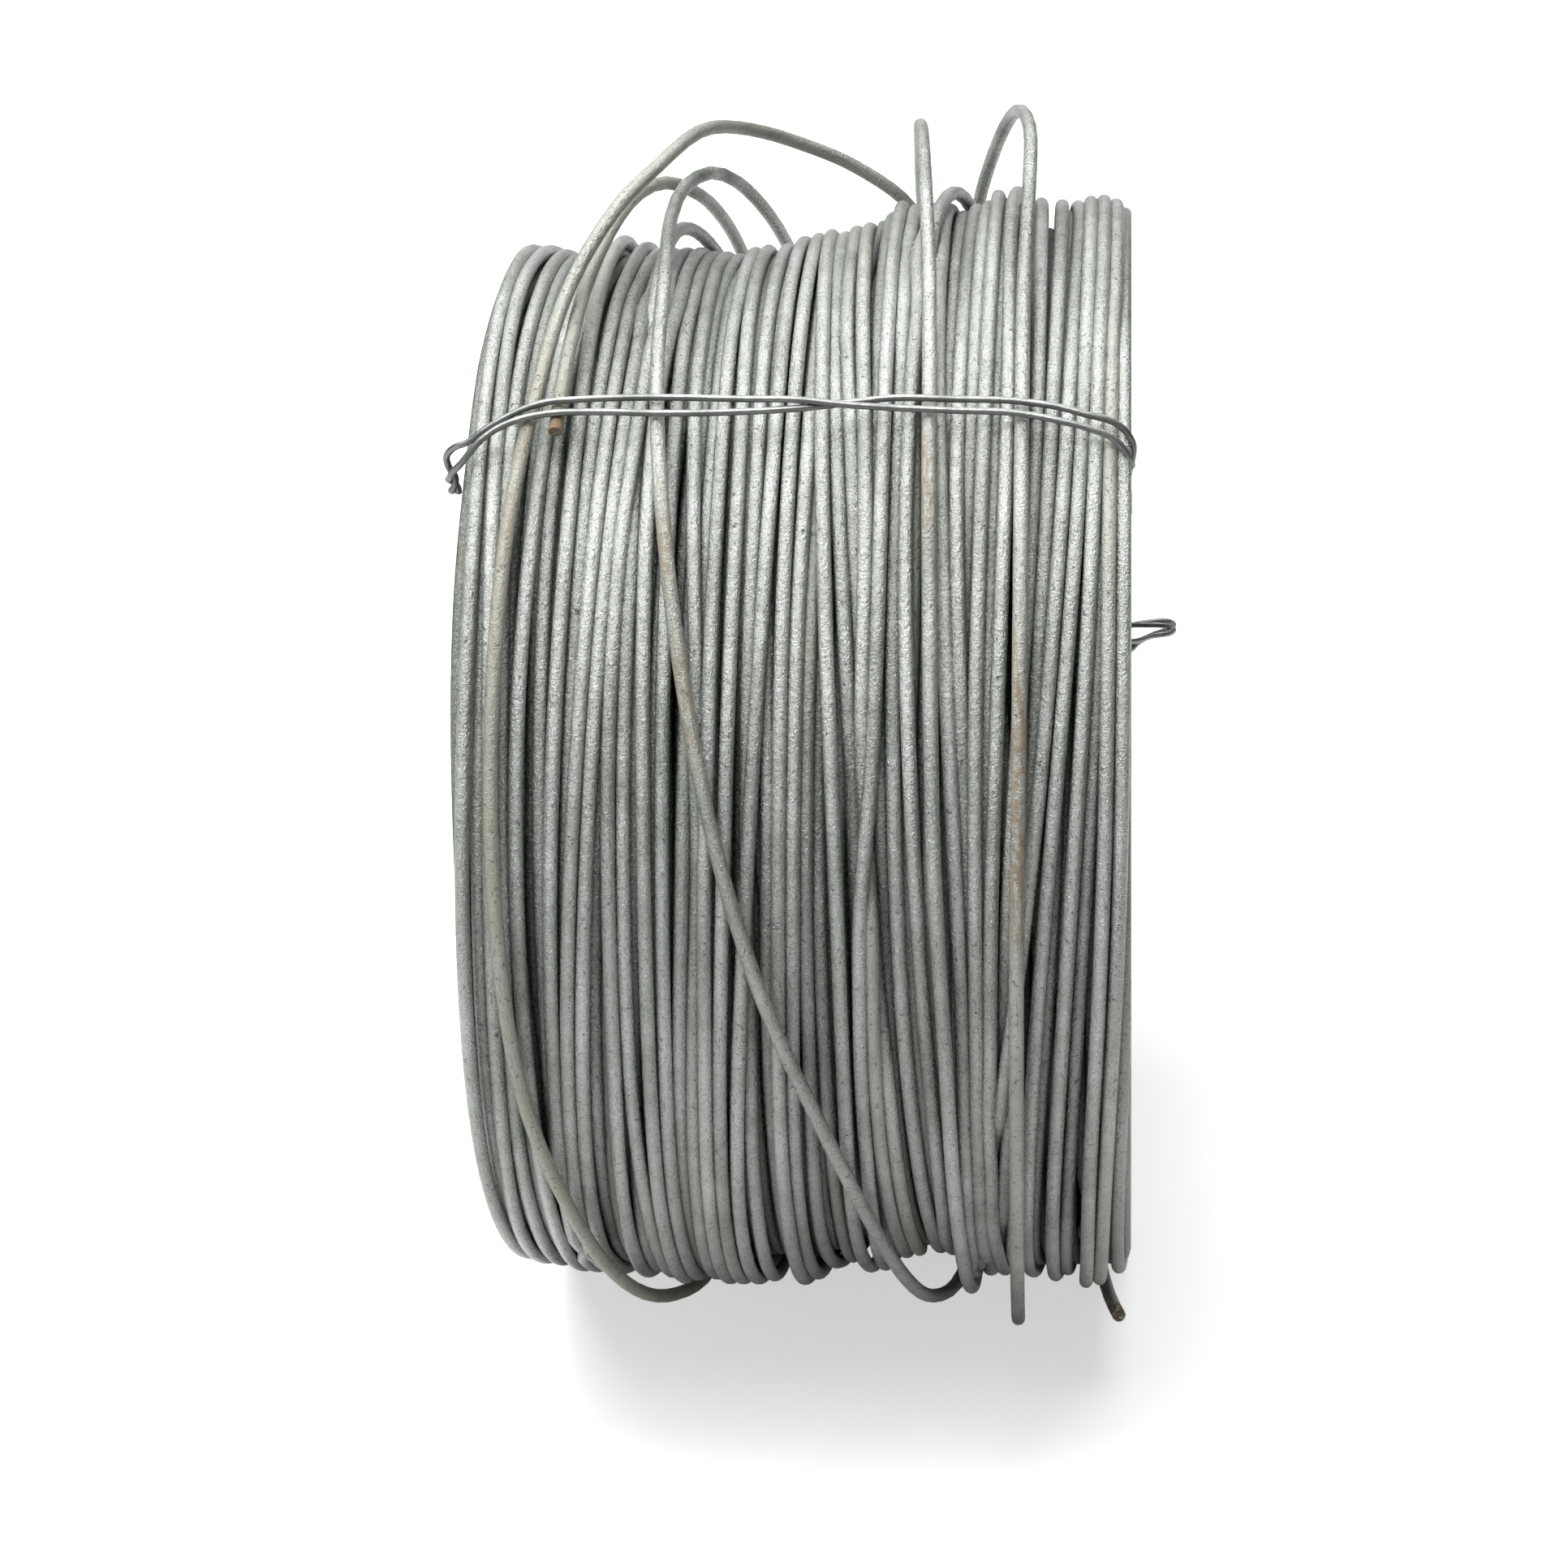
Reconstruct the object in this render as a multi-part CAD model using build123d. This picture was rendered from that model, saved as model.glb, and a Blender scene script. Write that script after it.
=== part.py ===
from build123d import *
import os
from math import cos, degrees, radians, sin, tan

# A tied coil of fence tension wire, standing on its rim with some of its turns sprung loose.
# X is the coil's axis, Z is up and the front faces -Y. The origin is the middle of the bore.

# The wire and the coil that it is wound into
wire_diameter = 4.5
bore_diameter = 280
wall_thickness = 40
coil_width = 200

# Loose turns: how far off the rim they lie, and how high the highest one springs
turn_gap = 0.3
loose_rise = 30

# Ties: a thin wire, doubled, round the coil's section, with its two ends twisted together
tie_wire_diameter = 2
tie_strand_pitch = 3.4
tie_lift = 1
tie_bow = 14
tie_bend_radius = 12
tie_slack = 16
tie_seat_gap = 0.2
twist_length = 16
twist_pitch = 12
strand_end_gap = 3

# A wire's section has a few flat sides, which keeps its many bends light
wire_sides = 8
tie_wire_sides = 6

# The part of the shorter straight run that a bend takes up
bend_share = 0.45

wire_radius = wire_diameter / 2
bore_radius = bore_diameter / 2
rim_radius = bore_radius + wall_thickness
half_width = coil_width / 2
turns = round(coil_width / wire_diameter)
layers = round(wall_thickness / wire_diameter)
ridge_depth = wire_radius

# The centre line of a loose turn where it lies on the rim
seat_radius = rim_radius + turn_gap + wire_radius

# The centre line of a tie's strand over the rim, past the ends and through the bore
tie_radius = tie_wire_diameter / 2
tie_rim_radius = seat_radius + wire_radius + tie_lift + tie_radius
tie_end_x = half_width + turn_gap + tie_radius
tie_bore_radius = bore_radius + tie_seat_gap + tie_radius
tie_drop = degrees(tie_bow / rim_radius)
tie_seat_depth = tie_wire_diameter + 2 * tie_seat_gap
tie_seat_width = tie_strand_pitch + tie_wire_diameter + 4 * tie_seat_gap
twist_radius = bore_radius + wall_thickness / 2

# Places along each loose turn: the angle from the front over the top in degrees, the place
# across as a share of half the width, and the height off the rim as a share of loose_rise
tall_arch_shares = [
    (-66, -0.42, 0), (-54, -0.54, 0), (-40, -0.61, 0), (-22, -0.71, 0), (-4, -0.82, 0),
    (15, -0.86, 0), (34, -0.86, 0), (51, -0.83, 0), (66, -0.765, 0), (76, -0.71, 0.18),
    (84, -0.62, 0.52), (92, -0.50, 0.80), (100, -0.38, 0.91), (108, -0.27, 0.80),
    (115, -0.12, 0.66), (121, 0.08, 0.40), (128, 0.26, 0.04),
]
outer_end_shares = [
    (61, -0.706, 0), (72, -0.68, 0), (88, -0.62, 0.04), (101, -0.55, 0.20),
    (109, -0.48, 0.20), (116, -0.40, 0.06), (124, -0.31, 0),
]
crossing_turn_shares = [
    (-64, 0.42, 0), (-52, 0.35, 0), (-38, 0.295, 0), (-22, 0.20, 0), (-8, 0.07, 0),
    (6, -0.08, 0), (20, -0.20, 0), (34, -0.28, 0), (50, -0.365, 0), (66, -0.41, 0),
    (82, -0.425, 0.05), (96, -0.45, 0.08), (105, -0.445, 0.20), (112, -0.40, 0.35),
    (119, -0.33, 0.33), (126, -0.22, 0.08), (138, -0.12, 0),
]
edge_on_turn_shares = [
    (20, 0.39, 0), (38, 0.388, 0), (54, 0.386, 0), (69, 0.383, 0), (79, 0.375, 0.30),
    (88, 0.355, 0.66), (99, 0.33, 0.84), (110, 0.30, 0.85), (121, 0.265, 0.74),
    (131, 0.245, 0.28), (142, 0.24, 0),
]
wide_turn_shares = [
    (-66, 0.625, 0.04), (-57, 0.635, 0.25), (-43, 0.645, 0.10), (-26, 0.655, 0), (-8, 0.665, 0),
    (10, 0.67, 0), (28, 0.678, 0), (46, 0.685, 0), (64, 0.685, 0), (80, 0.68, 0.12),
    (92, 0.69, 0.46), (103, 0.68, 0.86), (114, 0.62, 1.0), (123, 0.54, 0.80),
    (132, 0.45, 0.26), (144, 0.42, 0),
]
lower_end_shares = [
    (-76, 0.87, 0), (-69, 0.91, 0.06), (-63.5, 0.945, 0.13), (-58, 0.97, 0.21),
]

# Each tie's angle from the front over the top, and how far across it stays level
front_tie_angle = 64
rear_tie_angle = 199.5
lower_tie_angle = 250
tie_level_share = 0.78

# The rear tie's slack loop past the coil's right end, as shares of tie_slack outwards
# and of the wall's thickness down from the rim
slack_loop_shares = [(0.35, 0.04), (1.0, 0.10), (0.92, 0.34), (0.30, 0.66)]


def ridges(start, end, count):
    """Points of a row of V ridges along one side of the section, outside its two corners."""
    run = end - start
    outwards = Vector(-run.Y, run.X).normalized() * ridge_depth
    steps = range(1, 2 * count)
    return [start + run * (step / (2 * count)) + outwards * (step % 2) for step in steps]


def coil_section():
    """The wall cut through, with Y as the radius: a ridge for each layer of turns on both
    ends, a ridge for each turn across the rim, and a plain bore."""
    end_x = half_width - ridge_depth
    top = rim_radius - ridge_depth
    corners = [
        Vector(-end_x, bore_radius), Vector(-end_x, top),
        Vector(end_x, top), Vector(end_x, bore_radius),
    ]
    points = []
    for start, end, count in zip(corners, corners[1:], (layers, turns, layers)):
        points += [start, *ridges(start, end, count)]
    return make_face(Polyline(*points, corners[-1], close=True))


def tie_seat(angle):
    """The channel across the innermost turns that a tight tie lies in."""
    depth = tie_seat_depth + wire_radius
    seat = Box(coil_width, depth, tie_seat_width)
    middle = bore_radius + tie_seat_depth - depth / 2
    return Rot(tie_drop - angle, 0, 0) * Pos(0, -middle, 0) * seat


def make_coil(tie_angles):
    """All the turns that lie in place, as one turned ring."""
    coil = revolve(coil_section(), Axis.X)
    for angle in tie_angles:
        coil -= tie_seat(angle)
    return coil


def round_point(angle, x, radius):
    """A point at that angle from the front over the top."""
    turn = radians(angle)
    return Vector(x, -radius * cos(turn), radius * sin(turn))


def bend_radii(points):
    """The largest arc at each corner of a route that its two straight runs allow."""
    radii = []
    for before, corner, after in zip(points, points[1:], points[2:]):
        half_turn = radians((corner - before).get_angle(after - corner)) / 2
        shorter = min((corner - before).length, (after - corner).length)
        radii.append(bend_share * shorter / tan(half_turn))
    return radii


def swept_wire(path, diameter, sides):
    """A wire along a path, cut square at its ends."""
    section = RegularPolygon(diameter / 2, sides)
    return sweep(Plane(path @ 0, z_dir=path % 0) * section, path)


def make_loose_turn(shares):
    """A turn that lies on the rim, and springs off it where its height isn't zero."""
    angles = [angle for angle, across, height in shares]
    points = []
    for i, (angle, across, height) in enumerate(shares):
        steps = [abs(angle - other) for other in angles[max(i - 1, 0):i + 2] if other != angle]
        # a corner stands outside the circle that the runs on both sides of it touch
        outside = 1 / cos(radians(max(steps)) / 2)
        radius = (seat_radius + height * loose_rise) * outside
        points.append(round_point(angle, across * half_width, radius))
    path = FilletPolyline(*points, radius=bend_radii(points))
    return swept_wire(path, wire_diameter, wire_sides)


def tie_strand(angle, loop_shares):
    """A strand round the coil's section, from one side of the twist to the other."""
    low_angle = angle - tie_drop
    level_x = half_width * tie_level_share
    route = [
        (low_angle, -tie_end_x, twist_radius),
        (low_angle, -tie_end_x, tie_rim_radius),
        (angle, -level_x, tie_rim_radius),
        (angle, level_x, tie_rim_radius),
        (low_angle, tie_end_x, tie_rim_radius),
    ]
    for out, down in loop_shares:
        route.append((low_angle, tie_end_x + out * tie_slack, rim_radius - down * wall_thickness))
    bore_corners = [(low_angle, x, tie_bore_radius) for x in (tie_end_x, -tie_end_x)]
    last = (low_angle, -tie_end_x, twist_radius - strand_end_gap)
    points = [round_point(*place) for place in (*route, *bore_corners, last)]
    largest = [tie_bend_radius] * (len(route) - 1) + [tie_wire_diameter] * len(bore_corners)
    radii = [min(pair) for pair in zip(bend_radii(points), largest)]
    path = FilletPolyline(*points, radius=radii)
    return swept_wire(path, tie_wire_diameter, tie_wire_sides)


def twisted_ends(angle):
    """The tie's two ends, twisted round each other outside the coil's left end."""
    out = tie_end_x + tie_radius + tie_seat_gap + tie_wire_diameter
    start = round_point(angle - tie_drop, -out, twist_radius + twist_length)
    inwards = round_point(angle - tie_drop, 0, -1)
    helix = Helix(twist_pitch, twist_length, tie_radius + tie_seat_gap / 2)
    section = Plane(helix @ 0, z_dir=helix % 0) * RegularPolygon(tie_radius, tie_wire_sides)
    end = sweep(section, helix, is_frenet=True)
    place = Plane(start, z_dir=inwards).location
    return [place * end, place * Rot(0, 0, 180) * end]


def make_tie(angle, loop_shares=()):
    """A doubled tie: two strands side by side, and their twisted ends."""
    half_angle = degrees(tie_strand_pitch / 2 / rim_radius)
    strands = [tie_strand(angle + side * half_angle, loop_shares) for side in (-1, 1)]
    return strands + twisted_ends(angle)


nodes = {
    "wire_coil": [make_coil((front_tie_angle, rear_tie_angle, lower_tie_angle))],
    "tall_arch_turn": [make_loose_turn(tall_arch_shares)],
    "outer_wire_end": [make_loose_turn(outer_end_shares)],
    "crossing_turn": [make_loose_turn(crossing_turn_shares)],
    "edge_on_turn": [make_loose_turn(edge_on_turn_shares)],
    "wide_turn": [make_loose_turn(wide_turn_shares)],
    "lower_wire_end": [make_loose_turn(lower_end_shares)],
    "front_tie": make_tie(front_tie_angle),
    "rear_tie": make_tie(rear_tie_angle, slack_loop_shares),
    "lower_tie": make_tie(lower_tie_angle),
}

os.makedirs("parts", exist_ok=True)
for name, solids in nodes.items():
    shape = solids[0] if len(solids) == 1 else Compound(children=solids)
    export_step(shape, f"parts/{name}.step")
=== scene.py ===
"""The looks of a tied coil of fence tension wire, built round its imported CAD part."""

from math import cos, pi, radians, sin

import bpy
import numpy as np
from mathutils import Matrix, Vector


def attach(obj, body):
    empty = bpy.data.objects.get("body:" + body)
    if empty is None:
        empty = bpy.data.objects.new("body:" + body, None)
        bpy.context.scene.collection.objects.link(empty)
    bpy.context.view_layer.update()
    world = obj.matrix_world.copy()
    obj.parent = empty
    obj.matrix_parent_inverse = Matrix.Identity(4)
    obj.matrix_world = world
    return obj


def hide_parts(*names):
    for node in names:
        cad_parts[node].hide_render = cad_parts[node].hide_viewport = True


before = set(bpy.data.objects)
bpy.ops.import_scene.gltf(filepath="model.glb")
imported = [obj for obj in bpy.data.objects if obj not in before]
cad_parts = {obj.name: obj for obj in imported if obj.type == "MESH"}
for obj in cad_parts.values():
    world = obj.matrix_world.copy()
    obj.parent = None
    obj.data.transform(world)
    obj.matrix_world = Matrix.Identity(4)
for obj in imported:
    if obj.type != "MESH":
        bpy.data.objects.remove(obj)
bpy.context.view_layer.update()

# Loose turns: stretches of the coil's own wire that have sprung off it, and its two cut ends. It is
# steel, drawn round and dipped in zinc, which sets to a dull grey skin with bright rubbed crowns.
# Dirt lies along some stretches, and rust has started where the zinc is worn through.

MM = 0.001
wire_diameter = 4.5
wire_radius = wire_diameter / 2

# the zinc's shades, and what lies on it or has broken through it
zinc_light = (0.70, 0.72, 0.70, 1)
zinc_mid = (0.49, 0.51, 0.48, 1)
zinc_dark = (0.27, 0.285, 0.26, 1)
speck_colour = (0.07, 0.075, 0.07, 1)
# the dark of scratches and rubbed spots, which also serves as painted shade on turns sunk below the
# coil's outline
grime_and_shade_colour = (0.13, 0.145, 0.125, 1)
dirt_colour = (0.36, 0.345, 0.265, 1)
rust_colour = (0.19, 0.12, 0.065, 1)
rust_pale = (0.34, 0.26, 0.15, 1)

# about how many of each mark there are to a metre
tone_scale, streak_scale, cloud_scale, scratch_scale = 9, 60, 90, 110
pit_scale, speck_scale, crinkle_scale, grain_scale = 360, 620, 760, 1500
rust_streak_scale, rust_scale, rust_shade_scale = 55, 330, 700

# the radius of the ring that stands for the way round a wire: ten times the wire's own, which
# makes a mark ten times as long as it is wide
mark_ring = 22 * MM

# how metallic clean zinc looks, and how high its crinkle stands
clean_metal = 0.88
zinc_relief = 1.1 * MM


def new_group(name, inputs, outputs):
    """A shader node group, with the name and kind of each input and output."""
    group = bpy.data.node_groups.new(name, "ShaderNodeTree")
    for flow, sockets in (("INPUT", inputs), ("OUTPUT", outputs)):
        for title, kind in sockets.items():
            group.interface.new_socket(name=title, in_out=flow, socket_type="NodeSocket" + kind)
    return group, group.nodes.new("NodeGroupInput"), group.nodes.new("NodeGroupOutput")


def add_node(tree, kind, **settings):
    """A node with its settings, and its inputs given as a dictionary of values or sockets."""
    inputs = settings.pop("inputs", {})
    node = tree.nodes.new(kind)
    for name, value in settings.items():
        setattr(node, name, value)
    for name, value in inputs.items():
        if isinstance(value, bpy.types.NodeSocket):
            tree.links.new(value, node.inputs[name])
        else:
            node.inputs[name].default_value = value
    return node


def mix_colour(tree, share, first, second):
    """The colour socket of a mix of two colours. Its sockets have numbers because names repeat."""
    node = add_node(tree, "ShaderNodeMix", data_type="RGBA")
    for index, value in ((0, share), (6, first), (7, second)):
        if isinstance(value, bpy.types.NodeSocket):
            tree.links.new(value, node.inputs[index])
        else:
            node.inputs[index].default_value = value
    return node.outputs[2]


def between(tree, value, low, high, to_low=0.0, to_high=1.0):
    """A value's share of the way from low to high, kept within the two ends."""
    node = add_node(tree, "ShaderNodeMapRange", inputs={
        "Value": value, "From Min": low, "From Max": high, "To Min": to_low, "To Max": to_high,
    })
    return node.outputs["Result"]


def math_node(tree, operation, first, second=0.0):
    """The value socket of a sum, difference or other operation on two values."""
    node = add_node(tree, "ShaderNodeMath", operation=operation)
    for index, value in enumerate((first, second)):
        if isinstance(value, bpy.types.NodeSocket):
            tree.links.new(value, node.inputs[index])
        else:
            node.inputs[index].default_value = value
    return node.outputs[0]


def noise(tree, where, scale, detail=2.0, roughness=0.5):
    """The value socket of a cloudy pattern."""
    node = add_node(tree, "ShaderNodeTexNoise", inputs={
        "Vector": where, "Scale": scale, "Detail": detail, "Roughness": roughness,
    })
    return node.outputs["Fac"]


def lengthwise(tree, given):
    """A wire's surface laid out for marks that go all the way round: its length, wire by wire."""
    place = {"X": given.outputs["Along"], "Y": given.outputs["Wire"]}
    return add_node(tree, "ShaderNodeCombineXYZ", inputs=place).outputs[0]


def unrolled(tree, given):
    """A wire's surface laid out for long thin marks: its length, and a ring for its way round."""
    turn = math_node(tree, "MULTIPLY", given.outputs["Around"], 2 * pi)
    place = {"X": math_node(tree, "ADD", given.outputs["Along"], given.outputs["Wire"])}
    for axis, way in (("Y", "COSINE"), ("Z", "SINE")):
        place[axis] = math_node(tree, "MULTIPLY", math_node(tree, way, turn), mark_ring)
    return add_node(tree, "ShaderNodeCombineXYZ", inputs=place).outputs[0]


# the zinc skin: tone that drifts along each wire, a fine crinkle, scratches, specks and pits
wire_marks = ("Along", "Around", "Wire", "Dirt", "Grime_And_Shade", "Rust")
skin_inputs = {"Where": "Vector", **dict.fromkeys(wire_marks, "Float")}
skin_outputs = {"Colour": "Color", "Roughness": "Float", "Metal": "Float", "Height": "Float"}
skin, given, result = new_group("zinc_skin", skin_inputs, skin_outputs)
where = given.outputs["Where"]
scratches = between(skin, noise(skin, unrolled(skin, given), scratch_scale, 3, 0.65), 0.62, 0.72)
tone = noise(skin, lengthwise(skin, given), tone_scale, 3)
streak = noise(skin, lengthwise(skin, given), streak_scale, 2)
cloud = noise(skin, where, cloud_scale, 3, 0.6)
grain = noise(skin, where, grain_scale, 3, 0.7)
crinkle = noise(skin, where, crinkle_scale, 4, 0.7)
specks = between(skin, noise(skin, where, speck_scale, 2, 0.7), 0.62, 0.68)
pits = between(skin, noise(skin, where, pit_scale, 3, 0.8), 0.65, 0.71)

# its colour: light and dark lengths, then what lies on them, and painted shade on sunk turns
level = math_node(skin, "MULTIPLY", tone, 0.75)
level = math_node(skin, "ADD", level, math_node(skin, "MULTIPLY", cloud, 0.25))
colour = mix_colour(skin, between(skin, level, 0.34, 0.50), zinc_dark, zinc_mid)
colour = mix_colour(skin, between(skin, level, 0.50, 0.66), colour, zinc_light)
colour = mix_colour(skin, between(skin, streak, 0.52, 0.75, 0.0, 0.35), colour, zinc_light)
colour = mix_colour(skin, between(skin, grain, 0.35, 0.65, 0.0, 0.42), colour, zinc_dark)
dirt = math_node(skin, "MULTIPLY", given.outputs["Dirt"], between(skin, cloud, 0.35, 0.6, 0.45, 1.0))
colour = mix_colour(skin, dirt, colour, dirt_colour)
colour = mix_colour(skin, math_node(skin, "MULTIPLY", scratches, 0.6), colour, grime_and_shade_colour)
# this mark darkens rubbed spots on the loose turns, and on the coil's turns it is painted shade, darker
# the further they lie below the outline
grime_and_shade = math_node(skin, "MULTIPLY", given.outputs["Grime_And_Shade"], 0.62)
colour = mix_colour(skin, grime_and_shade, colour, grime_and_shade_colour)
colour = mix_colour(skin, math_node(skin, "MULTIPLY", specks, 0.55), colour, speck_colour)
colour = mix_colour(skin, math_node(skin, "MULTIPLY", pits, 0.8), colour, speck_colour)
skin.links.new(colour, result.inputs["Colour"])

# its gloss and relief: dirt and pits are dull, and pits are sunk
dull = between(skin, grain, 0.35, 0.65, 0.21, 0.41)
dull = math_node(skin, "ADD", dull, math_node(skin, "MULTIPLY", dirt, 0.2))
dull = math_node(skin, "ADD", dull, math_node(skin, "MULTIPLY", pits, 0.25))
skin.links.new(dull, result.inputs["Roughness"])
metal = math_node(skin, "SUBTRACT", clean_metal, math_node(skin, "MULTIPLY", dirt, 0.5))
metal = math_node(skin, "SUBTRACT", metal, math_node(skin, "MULTIPLY", pits, 0.5))
skin.links.new(metal, result.inputs["Metal"])
height = math_node(skin, "MULTIPLY", crinkle, 0.6)
height = math_node(skin, "ADD", height, math_node(skin, "MULTIPLY", grain, 0.4))
height = math_node(skin, "SUBTRACT", height, math_node(skin, "MULTIPLY", pits, 0.5))
skin.links.new(height, result.inputs["Height"])

# rust that breaks through in streaks and blotches, and covers what it has reached
rusting, given, result = new_group(
    "rusting", {**skin_inputs, "Colour": "Color"}, {"Colour": "Color", "Cover": "Float"},
)
long_streak = noise(rusting, unrolled(rusting, given), rust_streak_scale, 3, 0.6)
blotch = noise(rusting, given.outputs["Where"], rust_scale, 4, 0.75)
blotch = math_node(rusting, "MAXIMUM", blotch, long_streak)
reach = math_node(rusting, "MULTIPLY", given.outputs["Rust"], between(rusting, blotch, 0.47, 0.58))
shade = noise(rusting, given.outputs["Where"], rust_shade_scale)
shade = mix_colour(rusting, shade, rust_colour, rust_pale)
rusting.links.new(mix_colour(rusting, reach, given.outputs["Colour"], shade), result.inputs["Colour"])
rusting.links.new(reach, result.inputs["Cover"])


def read_attribute(tree, name):
    """The value that a wire's mesh keeps under that name."""
    return add_node(tree, "ShaderNodeAttribute", attribute_name=name).outputs["Fac"]


def paint_with(name, skin_group, relief_height):
    """A metal material whose skin, rust and fine relief follow the wire."""
    material = bpy.data.materials.new(name)
    material.use_nodes = True
    tree = material.node_tree
    shader = tree.nodes["Principled BSDF"]
    where = add_node(tree, "ShaderNodeTexCoord").outputs["Object"]
    surface = add_node(tree, "ShaderNodeGroup", node_tree=skin_group)
    rusted = add_node(tree, "ShaderNodeGroup", node_tree=rusting)
    marks = {title: read_attribute(tree, title.lower()) for title in wire_marks}
    for group in (surface, rusted):
        tree.links.new(where, group.inputs["Where"])
        for title, mark in marks.items():
            tree.links.new(mark, group.inputs[title])
    tree.links.new(surface.outputs["Colour"], rusted.inputs["Colour"])
    tree.links.new(rusted.outputs["Colour"], shader.inputs["Base Color"])
    rough_rust = math_node(tree, "MULTIPLY", rusted.outputs["Cover"], 0.4)
    roughness = math_node(tree, "ADD", surface.outputs["Roughness"], rough_rust)
    tree.links.new(roughness, shader.inputs["Roughness"])
    bare_rust = math_node(tree, "MULTIPLY", rusted.outputs["Cover"], 0.8)
    metal = math_node(tree, "SUBTRACT", surface.outputs["Metal"], bare_rust)
    tree.links.new(metal, shader.inputs["Metallic"])
    relief = add_node(tree, "ShaderNodeBump", inputs={
        "Strength": 1.0, "Distance": relief_height, "Height": surface.outputs["Height"],
    })
    tree.links.new(relief.outputs["Normal"], shader.inputs["Normal"])
    return material


zinc = paint_with("galvanised_wire", skin, zinc_relief)

# where each runs: its angle from the front over the top in degrees, its place across and its
# distance from the coil's axis in mm
loose_routes = {
    "tall_arch_turn": [
        (-118, -30, 171), (-104, -33, 175), (-90, -36.5, 177.5), (-78, -40, 179.6), (-66, -44.5, 182),
        (-54, -53, 183), (-40, -61.5, 183), (-22, -72, 183), (-4, -82.5, 182.6), (15, -86.3, 182.6),
        (34, -86.2, 182.6), (51, -83.3, 182.6), (66, -77.8, 182.6), (76, -72.5, 188), (84, -62, 198),
        (88, -55.2, 202.4), (92, -47.4, 205.6), (100, -36.6, 208.8), (108, -27, 206.2), (115, -12, 202),
        (121, 8.5, 195), (128, 26, 185.5), (138, 32.5, 179), (150, 34, 175), (164, 36, 171),
        (176, 37, 160),
    ],
    "outer_wire_end": [
        (61, -70.9, 183.2), (72, -69.4, 182.6), (88, -65, 183.8), (101, -57, 188.5), (109, -51, 188.5),
        (116, -42.4, 184.4), (124, -37, 179.6), (136, -32, 174), (148, -28, 169), (160, -25, 160),
    ],
    "crossing_turn": [
        (-118, 52, 170), (-104, 51, 173.5), (-90, 49, 177), (-76, 46, 179.6), (-64, 42, 181.5),
        (-52, 36, 182), (-38, 29.5, 182.5), (-22, 19.5, 182.6), (-8, 7, 182.6), (6, -8, 182.6),
        (20, -20, 182.6), (34, -29, 182.6), (50, -36.5, 182.6), (66, -41.5, 182.6), (82, -43, 184),
        (96, -45, 185), (105, -43.6, 188.3), (112, -37.5, 191.3), (119, -31, 189.6), (126, -24.2, 185),
        (134, -18.5, 180.6), (146, -13, 174), (158, -10, 168), (169, -9, 157),
    ],
    "edge_on_turn": [
        (-108, 46, 170), (-95, 47, 173), (-80, 48, 176), (-66, 48.6, 178), (-52, 48.6, 179),
        (-38, 48, 179.5), (-20, 46.8, 180), (0, 45.6, 181), (20, 43.2, 182), (38, 42.2, 182.6),
        (54, 41.2, 182.6), (69, 40.2, 183), (79, 39.3, 191.5), (88, 37.4, 201), (99, 34.8, 205.6),
        (110, 32.2, 206), (121, 30.2, 202.6), (131, 29.3, 190), (142, 29, 181), (154, 29, 176),
        (166, 29, 170), (177, 29, 158),
    ],
    "wide_turn": [
        (-106, 59, 171), (-92, 60, 175.5), (-79, 61, 179.5), (-66, 62.5, 184), (-57, 63.5, 189.2),
        (-43, 64.5, 185.5), (-26, 65.5, 183), (-8, 66.5, 182.6), (10, 67.2, 182.6), (28, 68.1, 182.6),
        (46, 68.4, 182.6), (64, 68.2, 182.6), (80, 68, 186.2), (92, 68.8, 196), (103, 68.2, 207.4),
        (114, 63, 210.2), (123, 56.6, 205.6), (132, 48.4, 191), (144, 44, 181.5), (156, 39, 177),
        (168, 37, 171), (180, 36, 158),
    ],
    "lower_wire_end": [
        (-112, 84, 171), (-96, 86, 175), (-80, 88.5, 179.6), (-69, 92, 184.3), (-58, 96.8, 188.6),
    ],
    "raised_turn_right": [
        (60, 35.5, 164), (72, 36, 167), (82, 36.6, 172.5), (89, 37.4, 178.5), (96, 39, 183.2),
        (104, 41.6, 184.6), (112, 44.2, 183.6), (121, 47, 181), (131, 50, 177), (143, 53, 171),
        (155, 55, 158),
    ],
    "raised_turn_left": [
        (64, -49.5, 158), (76, -49, 162.5), (88, -48.3, 169), (96, -47.7, 172.6), (104, -46.6, 174),
        (112, -44.5, 173), (121, -41, 170), (131, -37, 166), (143, -34, 162),
    ],
}

# where dirt or rust shows on them: the angles between which it lies, and how strong it is
dirty_stretches = {
    "tall_arch_turn": [(-60, 70, 0.75), (70, 120, 0.35)], "outer_wire_end": [(50, 100, 0.55)],
    "crossing_turn": [(10, 60, 0.25)], "wide_turn": [(-30, 50, 0.3)],
}
rusty_stretches = {
    "crossing_turn": [(32, 38, 0.6), (47, 52, 0.7)], "edge_on_turn": [(52, 60, 0.7)],
    "wide_turn": [(14, 38, 0.75)], "outer_wire_end": [(60, 61.2, 1.4), (104, 112, 0.4)],
    "lower_wire_end": [(-58.6, -57, 2.0)], "tall_arch_turn": [(45, 60, 0.25)],
}

# the same for the dark spots where two turns have rubbed together
grimy_stretches = {
    "crossing_turn": [(108.5, 110, 1.4), (114.5, 116, 1.4)], "wide_turn": [(118, 121, 1.2)],
}


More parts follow.
